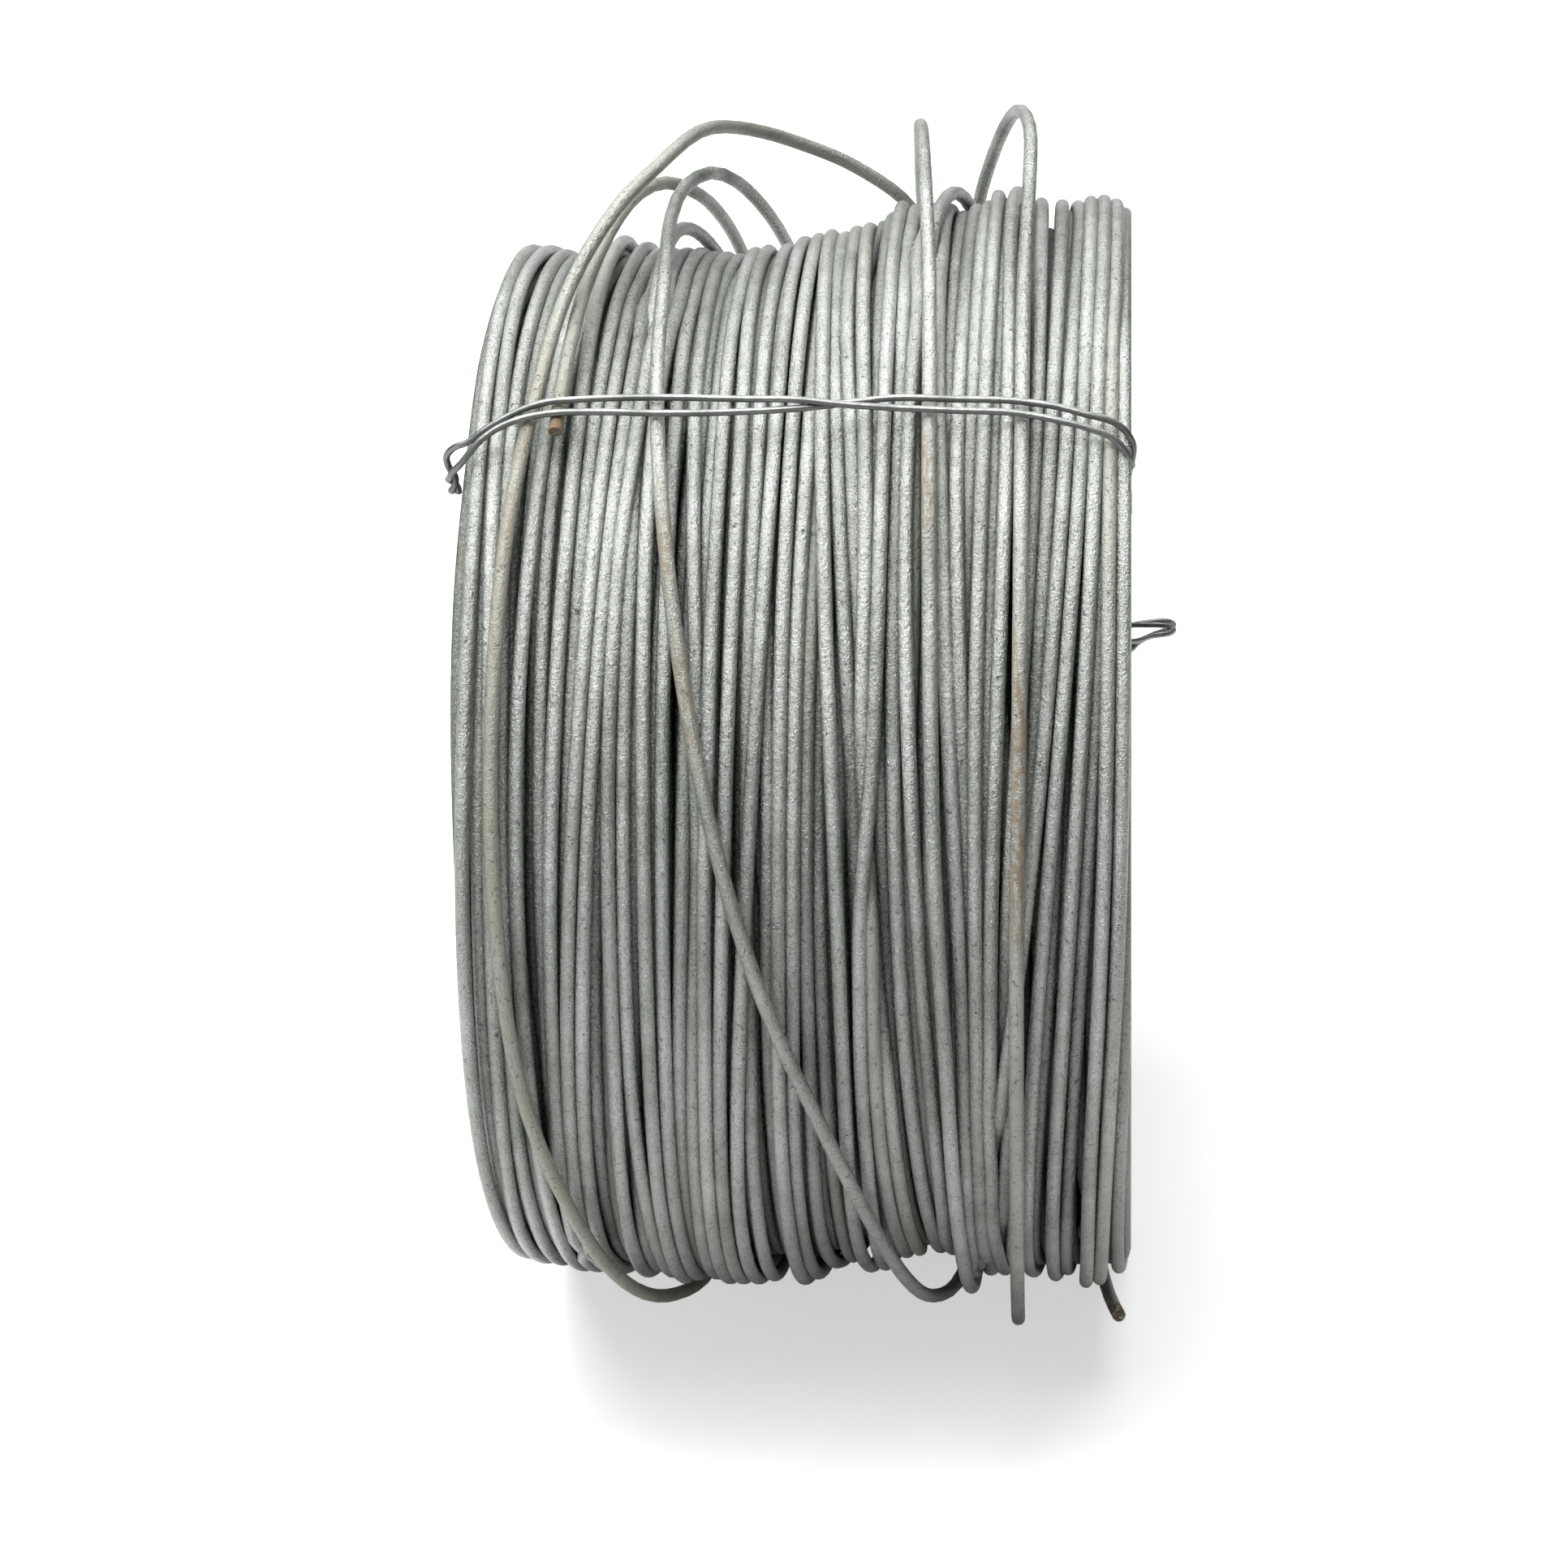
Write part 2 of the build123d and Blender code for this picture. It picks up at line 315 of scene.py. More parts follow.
def smooth_route(points, spacing):
    """Points every so many mm along a smooth curve that passes through the given ones."""
    knots = np.array(points, float)
    runs = np.linalg.norm(np.diff(knots, axis=0), axis=1)[:, None]
    slopes = np.diff(knots, axis=0) / runs
    middle = (slopes[:-1] * runs[1:] + slopes[1:] * runs[:-1]) / (runs[1:] + runs[:-1])
    slopes = np.vstack([slopes[:1], middle, slopes[-1:]])
    route = []
    for start, end, leave, arrive, (run,) in zip(knots, knots[1:], slopes, slopes[1:], runs):
        t = np.linspace(0, 1, max(2, round(run / spacing)), endpoint=False)[:, None]
        route.append(
            start * (1 + 2 * t) * (1 - t) ** 2 + end * t ** 2 * (3 - 2 * t)
            + run * (leave * t * (1 - t) ** 2 - arrive * t ** 2 * (1 - t))
        )
    return np.vstack(route + [knots[-1:]])


def round_the_axis(angle, x, r):
    """Points in mm from angles in degrees, places across and distances from the axis."""
    turn = np.radians(angle)
    return np.stack([x, -r * np.cos(turn), r * np.sin(turn)], -1)


def marked(angle, stretches, fade):
    """How strong a mark is at each angle, fading out past the ends of each stretch."""
    strength = np.zeros_like(angle)
    for low, high, most in stretches:
        away = np.maximum(np.maximum(low - angle, angle - high), 0) / fade
        strength = np.maximum(strength, most * np.clip(1 - away, 0, 1))
    return strength


# round wire along a path, made by Geometry Nodes: a polyline becomes a tube with closed ends,
# which keeps the path's own marks and the distances along and around it for its material
round_wire = bpy.data.node_groups.new("round_wire", "GeometryNodeTree")
for name, kind, flow in (
    ("Geometry", "NodeSocketGeometry", "INPUT"), ("Wire Radius", "NodeSocketFloat", "INPUT"),
    ("Sides", "NodeSocketInt", "INPUT"), ("Material", "NodeSocketMaterial", "INPUT"),
    ("Geometry", "NodeSocketGeometry", "OUTPUT"),
):
    round_wire.interface.new_socket(name=name, in_out=flow, socket_type=kind)
given = add_node(round_wire, "NodeGroupInput")
result = add_node(round_wire, "NodeGroupOutput")
path = add_node(round_wire, "GeometryNodeMeshToCurve", inputs={"Mesh": given.outputs["Geometry"]})
parameter = add_node(round_wire, "GeometryNodeSplineParameter")
keep_length = add_node(
    round_wire, "GeometryNodeStoreNamedAttribute", data_type="FLOAT", domain="POINT", inputs={
        "Name": "along", "Geometry": path.outputs["Curve"], "Value": parameter.outputs["Length"],
    },
)
section = add_node(round_wire, "GeometryNodeCurvePrimitiveCircle", mode="RADIUS", inputs={
    "Resolution": given.outputs["Sides"], "Radius": given.outputs["Wire Radius"],
})
keep_round = add_node(
    round_wire, "GeometryNodeStoreNamedAttribute", data_type="FLOAT", domain="POINT", inputs={
        "Name": "around", "Geometry": section.outputs["Curve"], "Value": parameter.outputs["Factor"],
    },
)
tube = add_node(round_wire, "GeometryNodeCurveToMesh", inputs={
    "Curve": keep_length.outputs["Geometry"], "Profile Curve": keep_round.outputs["Geometry"],
    "Fill Caps": True,
})
smooth = add_node(round_wire, "GeometryNodeSetShadeSmooth", inputs={"Geometry": tube.outputs["Mesh"]})
realize = add_node(
    round_wire, "GeometryNodeRealizeInstances", inputs={"Geometry": smooth.outputs["Geometry"]},
)
paint = add_node(round_wire, "GeometryNodeSetMaterial", inputs={
    "Geometry": realize.outputs["Geometry"], "Material": given.outputs["Material"],
})
round_wire.links.new(paint.outputs["Geometry"], result.inputs["Geometry"])


def make_wire(name, path, radius, sides, material, marks=None):
    """A mesh of round wire along a path in mm, with marks at each of its points."""
    mesh = bpy.data.meshes.new(name + "_path")
    count = len(path)
    steps = [(i, i + 1) for i in range(count - 1)]
    mesh.from_pydata([Vector(point) * MM for point in path], steps, [])
    values = {title: np.zeros(count) for title in ("wire", "dirt", "grime_and_shade", "rust")}
    values.update(marks or {})
    for title, strengths in values.items():
        attribute = mesh.attributes.new(title, "FLOAT", "POINT")
        attribute.data.foreach_set("value", np.asarray(strengths, np.float32))
    guide = bpy.data.objects.new(name + "_path", mesh)
    bpy.context.scene.collection.objects.link(guide)
    modifier = guide.modifiers.new("round_wire", "NODES")
    modifier.node_group = round_wire
    settings = {"Wire Radius": radius * MM, "Sides": sides, "Material": material}
    for item in round_wire.interface.items_tree:
        if item.in_out == "INPUT" and item.name in settings:
            modifier[item.identifier] = settings[item.name]
    evaluated = guide.evaluated_get(bpy.context.evaluated_depsgraph_get())
    wire = bpy.data.objects.new(name, bpy.data.meshes.new_from_object(evaluated))
    bpy.context.scene.collection.objects.link(wire)
    bpy.data.objects.remove(guide)
    return wire


# the steps of each path in mm, the sides of its section, and how many degrees a mark fades over
loose_spacing, loose_sides = 4, 14
dirt_fade, grime_fade, rust_fade = 12, 1.5, 4
for index, (name, route) in enumerate(loose_routes.items()):
    angle, x, r = smooth_route(route, loose_spacing).T
    pattern_start = 3.7 * index + 40
    marks = {
        "wire": np.full(len(angle), pattern_start),
        "dirt": marked(angle, dirty_stretches.get(name, []), dirt_fade),
        "grime_and_shade": marked(angle, grimy_stretches.get(name, []), grime_fade),
        "rust": marked(angle, rusty_stretches.get(name, []), rust_fade),
    }
    path = round_the_axis(angle, x, r)
    piece = make_wire(name + "_wire", path, wire_radius, loose_sides, zinc, marks)
    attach(piece, "root")
    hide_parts(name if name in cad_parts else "wire_coil")

# The coil: about three hundred turns of the same wire, wound by machine and then pulled about, so
# the outer turns slant, cross and leave dark gaps. Each outer turn is placed as it lies across the
# front. The layers beneath and in the bore are wound from end to end, and those at the ends inwards.

coil_half_width = 100
coil_radius = 180
bore_radius = 140

# each turn is worked out in so many slices, from a seam at the back over the top and round
slices = 120
seam_angle = 210
front_angles = (80, 60, 40, 20, 0, -20)
front_middle, front_reach = 30, 130

# for each outer turn, left to right: how deep it lies, in wires, and its place across in mm
# at each of front_angles
front_turns = [
    (0.0, -96.0, -94.5, -94.3, -96.3, -98.0, -98.3), (0.8, -93.0, -91.5, -90.0, -92.0, -93.4, -95.0),
    (0.0, -91.2, -89.7, -87.5, -87.2, -88.6, -91.0), (0.3, -86.3, -86.3, -84.6, -85.0, -85.6, -87.0),
    (0.5, -81.9, -83.6, -83.8, -83.6, -82.6, -83.6), (0.0, -73.5, -75.5, -78.8, -80.6, -80.8, -81.0),
    (0.6, -69.5, -71.9, -72.8, -73.4, -74.4, -76.5), (0.0, -65.8, -65.3, -67.4, -69.9, -72.7, -73.0),
    (0.4, -60.4, -60.9, -63.1, -66.0, -69.0, -70.5), (0.0, -55.4, -56.4, -59.4, -63.8, -67.9, -71.6),
    (0.0, -50.6, -51.3, -55.2, -59.1, -63.4, -67.5), (0.9, -52.5, -53.0, -54.0, -56.8, -59.9, -62.0),
    (0.0, -47.0, -49.5, -51.7, -53.1, -53.3, -56.6), (1.0, -44.0, -46.0, -50.0, -52.5, -55.6, -59.8),
    (0.2, -45.3, -47.4, -47.6, -48.3, -49.6, -50.0), (0.5, -42.0, -44.5, -45.0, -45.4, -47.3, -52.2),
    (0.0, -41.0, -43.0, -42.4, -42.1, -43.1, -45.4), (0.9, -34.2, -36.6, -39.2, -39.6, -40.8, -42.0),
    (0.3, -37.0, -36.0, -36.3, -36.9, -38.4, -40.2), (0.6, -29.6, -29.0, -28.9, -30.3, -33.7, -37.2),
    (0.4, -31.5, -30.4, -27.1, -26.2, -29.9, -33.8), (0.9, -27.0, -27.2, -29.6, -31.5, -35.0, -36.0),
    (0.7, -24.6, -24.7, -25.4, -27.5, -28.2, -30.2), (0.0, -22.8, -21.3, -22.2, -24.6, -26.6, -29.4),
    (0.0, -18.0, -15.5, -16.4, -18.4, -21.6, -26.4), (1.0, -14.0, -13.4, -13.2, -13.6, -17.0, -18.6),
    (0.3, -11.7, -10.5, -11.2, -12.6, -13.0, -15.8), (0.0, -6.5, -5.7, -7.8, -11.4, -15.7, -21.2),
    (0.6, -9.0, -8.2, -6.0, -5.4, -7.6, -8.4), (0.0, -0.8, -0.7, -1.7, -1.7, -4.4, -6.4),
    (0.2, 5.0, 4.6, 2.9, 1.8, -0.3, -2.6), (0.0, 5.3, 8.4, 11.6, 14.4, 15.3, 14.9),
    (0.7, 7.8, 7.6, 6.4, 5.0, 4.6, 4.0), (0.4, 9.6, 13.3, 17.1, 20.2, 21.4, 21.8),
    (0.2, 12.9, 18.0, 20.8, 24.2, 26.2, 29.2), (0.9, 17.0, 12.0, 8.4, 8.6, 9.0, 9.4),
    (0.1, 17.9, 22.4, 22.9, 22.8, 24.2, 25.8), (0.8, 23.4, 24.8, 26.4, 27.4, 28.8, 31.5),
    (0.0, 27.2, 27.7, 26.6, 22.6, 20.4, 19.9), (0.3, 31.6, 31.1, 30.7, 31.6, 32.7, 35.8),
    (0.1, 35.0, 34.0, 34.6, 37.0, 40.0, 43.2), (0.7, 33.0, 36.6, 37.0, 34.2, 36.4, 40.4),
    (0.1, 41.3, 43.8, 46.8, 49.3, 51.3, 51.6), (0.6, 45.3, 46.6, 43.6, 41.0, 41.4, 44.2),
    (0.2, 49.8, 48.6, 49.8, 52.0, 54.0, 53.4), (0.3, 53.6, 53.2, 51.4, 51.0, 48.6, 47.4),
    (0.0, 57.2, 57.1, 55.6, 54.7, 55.6, 55.4), (0.7, 61.2, 60.4, 58.9, 57.4, 57.8, 59.0),
    (0.0, 64.0, 64.0, 62.5, 60.3, 58.2, 56.6), (0.3, 73.0, 72.8, 69.8, 65.0, 62.4, 62.2),
    (0.3, 77.8, 76.6, 73.8, 70.0, 66.2, 60.8), (0.1, 83.6, 81.7, 78.0, 72.4, 64.6, 56.8),
    (0.0, 88.9, 86.1, 82.7, 77.2, 71.6, 68.4), (0.6, 81.0, 79.0, 80.0, 79.2, 75.0, 72.0),
    (0.0, 92.4, 90.3, 88.2, 84.0, 80.2, 76.7), (0.7, 90.0, 92.0, 91.4, 88.2, 84.3, 81.6),
    (0.0, 95.6, 94.2, 94.0, 93.3, 90.5, 86.9), (0.2, 98.3, 98.3, 98.4, 97.9, 95.8, 92.4),
    (0.8, 97.0, 97.4, 97.6, 98.5, 98.6, 97.0),
]

# how far the coil's outline lies inside its full radius: over the top and under the front,
# at places across
top_dips = [
    (-100, 11.4), (-74, 12.4), (-66, 8.5), (-60, 8.5), (-54, 13), (-22, 13), (-4, 9), (8, 6), (15, 5),
    (20, 0.5), (24, -1.6), (47, -0.8), (51, -1.8), (57, -4.8), (63, -6), (68, -5.4), (73, -2.5),
    (78, -2.6), (84, -1.4), (90, -3.4), (96, -1.5), (100, -0.5),
]
low_dips = [
    (-100, 9), (-86, 5), (-66, 4), (-46, 1), (-4, 1), (6, 4), (20, 6), (27, 10), (43, 11),
    (48, 3), (56, 5), (74, 4), (81, 1), (92, 1), (100, 4),
]
top_dip_angle, top_dip_reach = 112, 84
low_dip_angle, low_dip_reach = -52, 44

# the layers behind the outer one: how many turns each has, how deep they lie in wires, and how far
# apart the columns down an end and the layers in the bore are in mm
under_turns, under_depth = 42, 1.9
end_columns, end_turns, end_depths = 2, 7, (1.2, 7.6)
bore_layers, bore_turns = 2, 41
column_pitch, bore_pitch = 4.725, 3.9

# how far each layer's wire strays across and in depth in mm, at how many places in a turn, and
# how many rounds of evening out follow
outer_wander, under_wander, end_wander, bore_wander = 3.4, 4.76, 1.2, 2.4
under_waver, end_waver, bore_waver = 1.2, 1.0, 1.4
drift_knots = 9
even_rounds = 12
seed = 11

# how far the two ends of each wire are tucked in, in wires, and over how many slices
outer_tuck, end_tuck, bore_tuck = 1.4, 2.2, 1.6
tuck_slices = 14

# where the ties press on the turns: how far those in the bore and down the ends give way in mm, and
# over how many degrees to each side
tie_angles = (59.5, 195, 245.5)
tie_room, end_room = 2.6, 1.6
tie_reach = 9

angles = seam_angle - 360 * np.arange(slices) / slices
random = np.random.default_rng(seed)


def drift(count, reach):
    """A smooth random drift along a wire of so many turns, mostly within reach of zero."""
    knots = random.normal(0, reach / 2, count * drift_knots + 1)
    return np.interp(np.arange(count * slices), np.linspace(0, count * slices, len(knots)), knots)


def along_wire(values, rounds=1):
    """Values of one wire, turn by turn, evened out along it."""
    flat = np.asarray(values, float).reshape(-1)
    for _ in range(rounds):
        ends = np.concatenate([flat[:1], flat, flat[-1:]])
        flat = (ends[:-2] + 2 * ends[1:-1] + ends[2:]) / 4
    return flat.reshape(-1, slices)


def bump(angle, middle, reach):
    """1 at the middle angle, falling to 0 at reach degrees from it."""
    away = np.abs((angle - middle + 180) % 360 - 180) / reach
    return np.cos(np.clip(away, 0, 1) * pi / 2) ** 2


def outline(across):
    """The largest distance from the axis at each slice, which is full where the coil stands."""
    top = np.interp(across, *zip(*top_dips)) * bump(angles, top_dip_angle, top_dip_reach)
    low = np.interp(across, *zip(*low_dips)) * bump(angles, low_dip_angle, low_dip_reach)
    return coil_radius - wire_radius - top - low


tie_bumps = sum(bump(angles, angle, tie_reach) for angle in tie_angles)


def tucked(count, wires):
    """How far in mm each slice of a wire of so many turns is tucked in, most at its two ends."""
    place = np.arange(count * slices)
    return np.clip(1 - np.minimum(place, place[::-1]) / tuck_slices, 0, 1) * wires * wire_diameter


def front_wire():
    """The outermost turns as one wire: placed across the front, and joined up behind it."""
    table = np.array(front_turns)
    places = table[:, 1:]
    # past its first and last places each turn keeps part of its slant, and then joins the next one
    slant = 0.4
    top = places[:, 0] + slant * (places[:, 0] - places[:, 1])
    low = places[:, -1] + slant * (places[:, -1] - places[:, -2])
    back = (low[:-1] + top[1:]) / 2
    starts = np.concatenate([top[:1], back])
    ends = np.concatenate([back, low[-1:]])
    knots = np.array([seam_angle, top_dip_angle, *front_angles, low_dip_angle, seam_angle - 360])
    across = [
        np.interp(-angles, -knots, [start, up, *row, down, end])
        for start, up, row, down, end in zip(starts, top, places, low, ends)
    ]
    behind = 1 - bump(angles, front_middle, front_reach)
    stray = drift(len(table), outer_wander).reshape(-1, slices) * behind
    depth = along_wire(np.repeat(table[:, :1] * wire_diameter, slices, 1), rounds=20)
    depth = depth.reshape(-1) + tucked(len(table), outer_tuck)
    return along_wire(along_wire(across, rounds=14) + stray, rounds=6), along_wire(depth)


def under_wire():
    """The layer beneath, wound from side to side."""
    reach = coil_half_width - 2 * wire_diameter
    across = np.linspace(-reach, reach, under_turns * slices) + drift(under_turns, under_wander)
    depth = np.full(under_turns * slices, under_depth * wire_diameter)
    depth += drift(under_turns, under_waver)
    return along_wire(across, even_rounds), along_wire(depth, even_rounds)


def end_wire(side, column):
    """A column of turns down one end, wound inwards to the bore."""
    place = side * (coil_half_width - wire_radius - column * column_pitch)
    across = np.full(end_turns * slices, place) + drift(end_turns, end_wander)
    across -= side * (np.tile(tie_bumps, end_turns) * end_room + tucked(end_turns, end_tuck))
    depth = np.linspace(*end_depths, end_turns * slices) * wire_diameter + drift(end_turns, end_waver)
    return along_wire(across, even_rounds), along_wire(depth, even_rounds)


wires = [front_wire(), under_wire()]
wires += [end_wire(side, column) for side in (-1, 1) for column in range(end_columns)]
lengths = [len(across) for across, depth in wires]
across = np.vstack([wire[0] for wire in wires]).astype(np.float32)
depth = np.vstack([wire[1] for wire in wires]).astype(np.float32)

# the loose turns take up room, and the others give way to them
loose = []
for route in loose_routes.values():
    angle, x, r = np.array(route, float).T
    reached = (angles > angle[0]) & (angles < angle[-1])
    loose.append(np.where(reached, [np.interp(angles, angle, x), np.interp(angles, angle, r)], 0))
loose_across = np.array([place[0] for place in loose], np.float32)
loose_radius = np.array([place[1] for place in loose], np.float32)


# how much of each overlap one round pushes out, and how near the coil's ends a wire may come
push_share, least_gap = 0.7, 0.2
edge_room = 1.5


def spread_wires(across, radius, lengths, fixed, hold, lowest, highest, rounds):
    """Pushes crowded turns apart in every slice, keeping each wire smooth and within its limits."""
    free = len(across)
    placed = across.copy()
    borders = np.cumsum(lengths)[:-1]
    for _ in range(rounds):
        side = across[:, None] - np.concatenate([across, fixed[0]])[None]
        rise = radius[:, None] - np.concatenate([radius, fixed[1]])[None]
        gap = np.sqrt(side ** 2 + rise ** 2)
        gap[np.arange(free), np.arange(free)] = wire_diameter
        push = np.clip(wire_diameter - gap, 0, None) / np.maximum(gap, least_gap)
        push[:, :free] /= 2
        sideways, outwards = (
            np.vstack([along_wire(move, rounds=3) for move in np.split(moves, borders)])
            for moves in ((side * push).sum(1) * push_share, (rise * push).sum(1) * push_share)
        )
        across = across + sideways
        radius = radius + outwards
        across += (placed - across) * hold
        across = np.clip(across, edge_room - coil_half_width, coil_half_width - edge_room)
        radius = np.clip(radius, lowest, highest(across))
    return across, radius


# the outer turns are held to their places across the front, and the others hardly or not at all
front_hold, hold_reach, bore_hold = 0.25, 100, 0.02
rounds = 70
hold = np.zeros_like(across)
hold[:lengths[0]] = front_hold * bump(angles, front_middle, hold_reach)

# a turn that is pushed outwards keeps this share of its depth, up to one wire
kept_depth = 0.8
sunk = np.minimum(kept_depth * depth, wire_diameter)
tie_gap = tie_bumps * tie_room
across, radius = spread_wires(
    across, outline(across) - depth, lengths, (loose_across, loose_radius), hold,
    bore_radius + wire_radius + tie_gap, lambda places: outline(places) - sunk, rounds,
)


def bore_wire(layer):
    """A layer of turns against the bore, wound from side to side."""
    reach = coil_half_width - 3 * wire_diameter
    places = np.linspace(-reach, reach, bore_turns * slices) + drift(bore_turns, bore_wander)
    heights = bore_radius + wire_radius + layer * bore_pitch + np.abs(drift(bore_turns, bore_waver))
    heights += tucked(bore_turns, bore_tuck)
    return along_wire(places, even_rounds), along_wire(heights, even_rounds)


# the bore's layers keep off its edge and inside the wall's outer layers, and give way to the ends
inner = [bore_wire(layer) for layer in range(bore_layers)]
ends = slice(lengths[0] + lengths[1], None)
bore_gap, outer_wall = 0.1, 4 * wire_diameter
inner_across, inner_radius = spread_wires(
    np.vstack([wire[0] for wire in inner]), np.vstack([wire[1] for wire in inner]),
    [bore_turns] * bore_layers, (across[ends], radius[ends]), bore_hold,
    bore_radius + wire_radius + bore_gap + tie_gap, lambda places: coil_radius - outer_wall,
    rounds // 2,
)


def seeded_mark(count, spread, least):
    """Stretches of a mark along a wire of so many turns, where its drift is past the least."""
    return np.clip(drift(count, spread) - least, 0, 0.5)


# each wire's own name, and the sides of its section
coil_pieces = {
    "outer_turns": 12, "under_turns": 8, "left_end_turns": 10, "left_end_turns_2": 8,
    "right_end_turns": 10, "right_end_turns_2": 8, "bore_turns": 8, "bore_turns_2": 6,
}
borders = np.cumsum(lengths)[:-1]
rows = np.split(across, borders) + np.split(inner_across, bore_layers)
heights = np.split(radius, borders) + np.split(inner_radius, bore_layers)
for index, (name, places, reaches) in enumerate(zip(coil_pieces, rows, heights)):
    count = len(places)
    pattern_start = 1.7 * index
    # painted shade: the further a turn lies below the coil's outline, the darker it is painted,
    # standing in for the shade in the gaps between the outer turns
    buried = (outline(places) - reaches).reshape(-1) / wire_diameter
    marks = {
        "wire": np.full(places.size, pattern_start), "dirt": seeded_mark(count, 0.9, 0.35),
        "rust": seeded_mark(count, 1.0, 1.05), "grime_and_shade": np.clip(buried - 0.15, 0, 1),
    }
    path = round_the_axis(np.tile(angles, count), places.reshape(-1), reaches.reshape(-1))
    piece = make_wire(name, path, wire_radius, coil_pieces[name], zinc, marks)
    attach(piece, "root")
    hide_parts("wire_coil")

# Ties: a thin steel wire, drawn and left dull, doubled round the coil's section. Its fold and its
# two ends meet on the left end, where the ends are twisted together. The front one is tight and its
# two strands cross, and the rear one is slack and stands out in two loops past the right end.

tie_radius = 1.1
strand_pitch = 3.4

# where a strand runs down the coil's right end and through its bore
tie_end_x = 99.7
tie_bore_radius = 141.2
end_radii = (168, 156, 146)
corner_places = [(tie_end_x - 0.6, tie_bore_radius + 1.6), (tie_end_x - 3, tie_bore_radius)]

# the twist that its two ends make, and the eye that opens over it towards the rim
twist_x, twist_start, twist_length = -104.3, 158, 10
twist_radius, twist_turns, twist_points = 1.1, 0.8, 8
eye_lean = 0.95
eye_places = (
    [(-105.3, 171.5), (-104, 175.5), (-101.2, 178.6)],
    [(-103.6, 171.5), (-102, 174.5), (-99.8, 177.6)],
)

# the fold at the left end: degrees from the tie's middle and distances from the axis
fold_places = [(0.62, 156), (0.5, 159.5)]
fold_radius = 161

# each strand from the left end over the rim: angles, places across and distances from the axis
front_strands = (
    [(60.6, -97.6, 180), (61.2, -93.7, 182.2), (62.1, -87.7, 184.4),
     (63.1, -80.2, 186), (63.7, -74, 186.4), (64.0, -65, 186.4), (64.2, -50, 186.3), (64.2, -37, 186.3),
     (63.9, -14, 186.5), (63.5, 2, 187.6), (63.0, 16, 187.2), (62.8, 31, 186.3), (62.5, 46, 186.3),
     (62.0, 69, 186.3), (61.3, 79.4, 186), (60.6, 88.5, 185), (60.0, 94.6, 183.5), (59.2, 98.3, 181),
     (58.4, 100.6, 177)],
    [(59.2, -97.2, 180), (60.0, -94.2, 182.3), (60.9, -90, 184), (61.5, -85.6, 185.2),
     (62.0, -80.2, 186), (62.4, -74, 186.2), (62.6, -60, 186.2), (62.4, -40, 186.2), (62.6, -12, 186),
     (63.0, 2, 185.6), (63.6, 16, 185.5), (64.0, 31, 186.2), (63.8, 46, 186.3), (63.4, 69, 186.3),
     (62.8, 79.4, 186.2), (62.0, 88.5, 185.4), (61.7, 94.6, 184), (61.2, 98.3, 182),
     (60.6, 100.8, 178.5)],
)
rear_strands = (
    [(196.2, -97, 182.5), (197.2, -93, 186), (199.0, -80, 187), (200.2, -40, 186.6), (199.8, 0, 187),
     (200.2, 40, 186.6), (199.6, 78, 187), (197.6, 90, 187), (196.0, 98, 186.2), (195.2, 108, 185.4),
     (195.0, 114.6, 183.6), (195.0, 116.5, 179.5), (195.0, 114.6, 171), (195.0, 109, 162.5),
     (195.1, 103.4, 151)],
    [(194.9, -97, 182), (196.0, -93, 185.6), (198.0, -80, 186.6), (199.1, -40, 186.4),
     (198.7, 0, 186.2), (199.0, 40, 186.4), (198.4, 78, 186.6), (196.6, 90, 185.6), (195.2, 98, 179),
     (194.7, 106.4, 174), (194.6, 113.9, 171.4), (194.6, 116.5, 165), (194.6, 114.8, 159.5),
     (194.6, 108.8, 155.8), (194.6, 103, 148)],
)
lower_strands = tuple(
    [(245.7 + shift, -97, 179.6), (246.6 + shift, -93, 181.2), (248.6 + shift, -80, 181.6),
     (250.2 + shift, -40, 181.6), (249.8 + shift, 0, 181.5), (250.1 + shift, 40, 181.6),
     (248.8 + shift, 78, 181.6), (246.8 + shift, 92, 181.4), (245.7 + shift, 98.6, 179)]
    for shift in (0.55, -0.55)
)


def tie_route(strands, end_angle):
    """One wire from its first end in the twist, twice round the section, to its second end."""
    halves = []
    for side, strand, eye in zip((1, -1), strands, eye_places):
        twist = []
        for share in np.linspace(0, 1, twist_points):
            turn = side * pi / 2 + 2 * pi * twist_turns * (share - 1)
            r = twist_start + twist_length * share
            lean = np.degrees(twist_radius * sin(turn) / r)
            twist.append((end_angle + lean, twist_x + twist_radius * cos(turn), r))
        twist += [(end_angle + side * eye_lean, x, r) for x, r in eye]
        # a strand that comes in low joins the run down the right end below its own last place
        run = [(tie_end_x, r) for r in end_radii if r < strand[-1][2] - 6]
        run += [*corner_places, (0, tie_bore_radius), *[(-x, r) for x, r in corner_places[::-1]]]
        run.append((-tie_end_x, end_radii[-1]))
        bore_angle = end_angle + side * np.degrees(strand_pitch / 2 / tie_bore_radius)
        run = [(bore_angle, x, r) for x, r in run]
        fold = [(end_angle + side * lean, -tie_end_x, r) for lean, r in fold_places]
        halves.append(twist + strand + run + fold)
    return halves[0] + [(end_angle, -tie_end_x, fold_radius)] + halves[1][::-1]


# its skin: smoother and darker than the fence wire's, drawn along its length, with dull patches
tie_dark = (0.17, 0.18, 0.17, 1)
tie_light = (0.33, 0.345, 0.33, 1)
tie_mark = (0.14, 0.14, 0.135, 1)
patch_scale, drawn_scale = 55, 1400
tie_relief = 0.1 * MM
tie_skin, given, result = new_group("tie_skin", skin_inputs, skin_outputs)
patches = noise(tie_skin, lengthwise(tie_skin, given), patch_scale, 3, 0.6)
drawn = noise(tie_skin, given.outputs["Where"], drawn_scale, 2, 0.6)
colour = mix_colour(tie_skin, between(tie_skin, patches, 0.35, 0.65), tie_dark, tie_light)
colour = mix_colour(tie_skin, between(tie_skin, drawn, 0.5, 0.75, 0.0, 0.4), colour, tie_mark)
tie_skin.links.new(colour, result.inputs["Colour"])
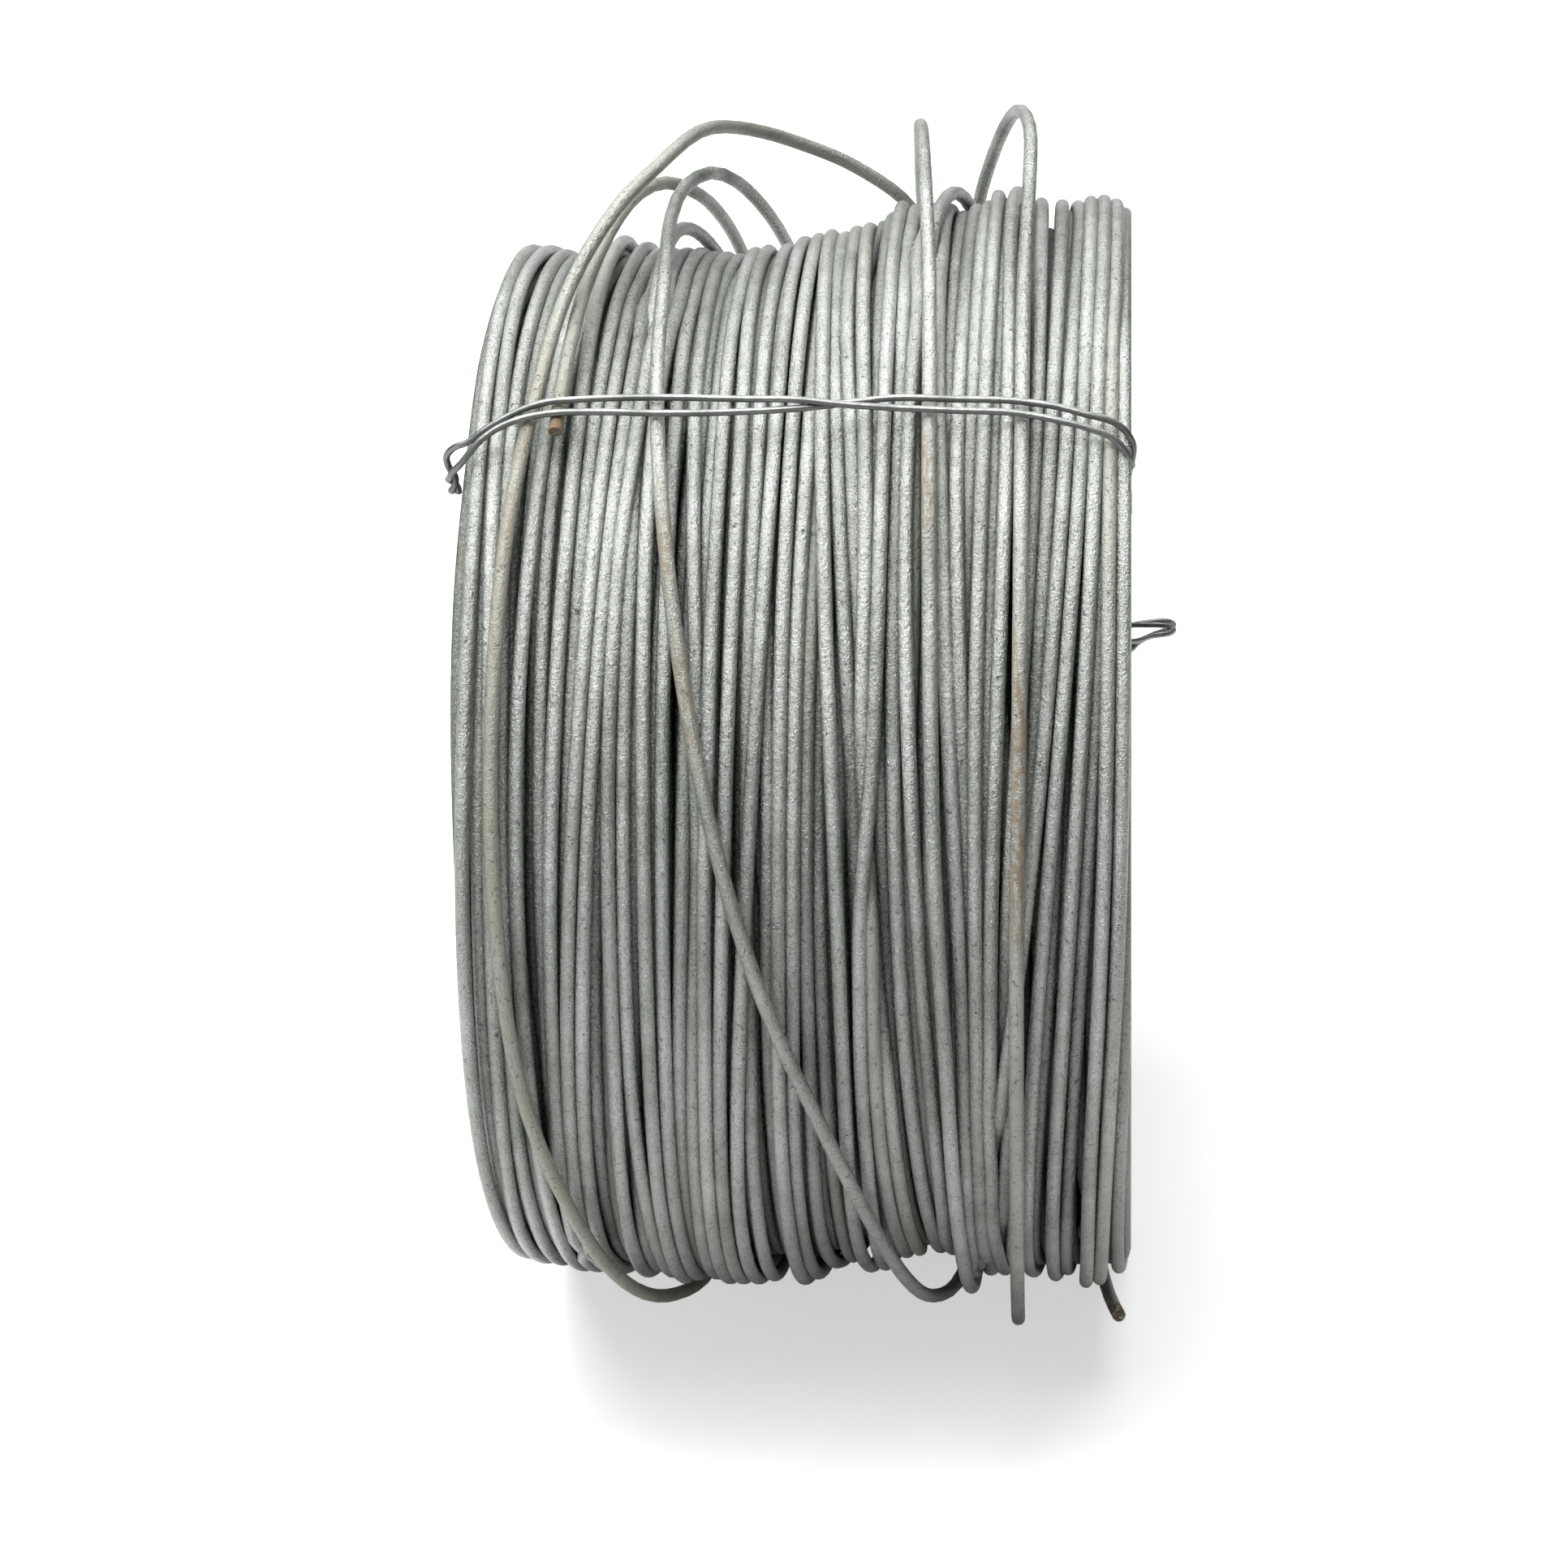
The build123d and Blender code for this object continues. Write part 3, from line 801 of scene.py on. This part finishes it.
tie_skin.links.new(between(tie_skin, patches, 0.3, 0.7, 0.50, 0.34), result.inputs["Roughness"])
tie_skin.links.new(between(tie_skin, drawn, 0.3, 0.8, 0.95, 0.7), result.inputs["Metal"])
tie_skin.links.new(drawn, result.inputs["Height"])
tie_steel = paint_with("tie_wire_steel", tie_skin, tie_relief)

tie_spacing, tie_sides = 1.6, 8
ties = {"front_tie": front_strands, "rear_tie": rear_strands, "lower_tie": lower_strands}
for index, (name, end_angle) in enumerate(zip(ties, tie_angles)):
    angle, x, r = smooth_route(tie_route(ties[name], end_angle), tie_spacing).T
    pattern_start = 2.3 * index + 70
    marks = {"wire": np.full(len(angle), pattern_start)}
    path = round_the_axis(angle, x, r)
    piece = make_wire(name + "_wire", path, tie_radius, tie_sides, tie_steel, marks)
    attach(piece, "root")
    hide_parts(name)

# The floor, light and camera of the picture: a white studio with a broad and a narrow soft light
# overhead and weaker ones behind and at the left, and a lens that looks down on the coil by 30
# degrees. The floor and the sky look white, but the metal reflects little of their glow.

floor_z = -coil_radius * MM
floor_reach = 8
floor_grey = (0.77, 0.77, 0.77, 1)
white = (1, 1, 1, 1)

# the floor's glow near the coil and far from it, and the distances between which it grows
near_glow, far_glow = 0.58, 1.0
near_reach, far_reach = 0.7, 2.2

# how much of the floor's and the sky's glow the metal reflects, and how strongly the sky lights it
floor_reflected, sky_reflected = 0.05, 0.02
sky_light = 0.065

floor_mesh = bpy.data.meshes.new("floor")
floor_corners = [
    (x * floor_reach, y * floor_reach, floor_z) for x, y in ((-1, -1), (1, -1), (1, 1), (-1, 1))
]
floor_mesh.from_pydata(floor_corners, [], [(0, 1, 2, 3)])
floor = bpy.data.objects.new("floor", floor_mesh)
bpy.context.scene.collection.objects.link(floor)
floor_paint = bpy.data.materials.new("floor_white")
floor_paint.use_nodes = True
floor_tree = floor_paint.node_tree
floor_shader = floor_tree.nodes["Principled BSDF"]
floor_shader.inputs["Base Color"].default_value = floor_grey
floor_shader.inputs["Roughness"].default_value = 0.95
floor_shader.inputs["Emission Color"].default_value = white


def seen_share(tree, reflected_share):
    """1 for what the camera sees, and a share of that for what the metal reflects."""
    rays = add_node(tree, "ShaderNodeLightPath").outputs
    reflected = math_node(tree, "MULTIPLY", rays["Is Glossy Ray"], reflected_share)
    straight = math_node(tree, "MAXIMUM", rays["Is Camera Ray"], rays["Is Transmission Ray"])
    return math_node(tree, "MAXIMUM", straight, reflected)


floor_where = add_node(floor_tree, "ShaderNodeTexCoord").outputs["Object"]
away = add_node(
    floor_tree, "ShaderNodeVectorMath", operation="LENGTH", inputs={"Vector": floor_where},
)
floor_glow = between(floor_tree, away.outputs["Value"], near_reach, far_reach, near_glow, far_glow)
floor_glow = math_node(floor_tree, "MULTIPLY", seen_share(floor_tree, floor_reflected), floor_glow)
floor_tree.links.new(floor_glow, floor_shader.inputs["Emission Strength"])
floor.data.materials.append(floor_paint)

world = bpy.data.worlds.new("studio")
bpy.context.scene.world = world
world.use_nodes = True
sky_tree = world.node_tree
sky = sky_tree.nodes["Background"]
sky.inputs["Color"].default_value = white
sky_glow = math_node(sky_tree, "MULTIPLY", seen_share(sky_tree, sky_reflected), 1 - sky_light)
sky_glow = math_node(sky_tree, "ADD", sky_light, sky_glow)
sky_tree.links.new(sky_glow, sky.inputs["Strength"])

# each lamp's place and the point that it lights, and its size, in metres, and its power in watts
softboxes = {
    "overhead": ((-0.5, -0.14, 1.55), (0, 0, 0), (2.0, 1.3), 36),
    "strip": ((-0.25, -0.3, 1.5), (0, 0, 0), (0.9, 0.2), 11),
    "behind": ((0.1, 1.0, 1.3), (0, 0, 0.1), (2.0, 0.9), 23),
    "left": ((-1.5, -0.9, 0.35), (0, 0, 0), (0.5, 0.8), 3),
}
for name, (place, aim, size, power) in softboxes.items():
    lamp = bpy.data.lights.new(name, "AREA")
    lamp.shape = "RECTANGLE"
    lamp.size, lamp.size_y = size
    lamp.energy = power
    softbox = bpy.data.objects.new(name, lamp)
    softbox.location = place
    softbox.rotation_euler = (Vector(aim) - Vector(place)).to_track_quat("-Z", "Y").to_euler()
    bpy.context.scene.collection.objects.link(softbox)

# the lens stands off the coil's right end, which the picture shows edge on, and its focal length
# is given in the picture's own pixels
camera_x, camera_distance = 0.1, 1.386
look_down, turn_left, tip_down = radians(30), radians(4.76), radians(0.5)
sensor_width, focal_pixels, picture_pixels = 36, 5105, 1932
camera = bpy.data.cameras.new("camera")
camera.sensor_width = sensor_width
camera.lens = sensor_width * focal_pixels / picture_pixels
eye = bpy.data.objects.new("camera", camera)
place = Vector((camera_x, -camera_distance * cos(look_down), camera_distance * sin(look_down)))
turned = Matrix.Rotation(pi / 2 - look_down, 4, "X") @ Matrix.Rotation(turn_left, 4, "Y")
eye.matrix_world = Matrix.Translation(place) @ turned @ Matrix.Rotation(-tip_down, 4, "X")
bpy.context.scene.collection.objects.link(eye)
bpy.context.scene.camera = eye
bpy.context.scene.view_settings.view_transform = "Standard"
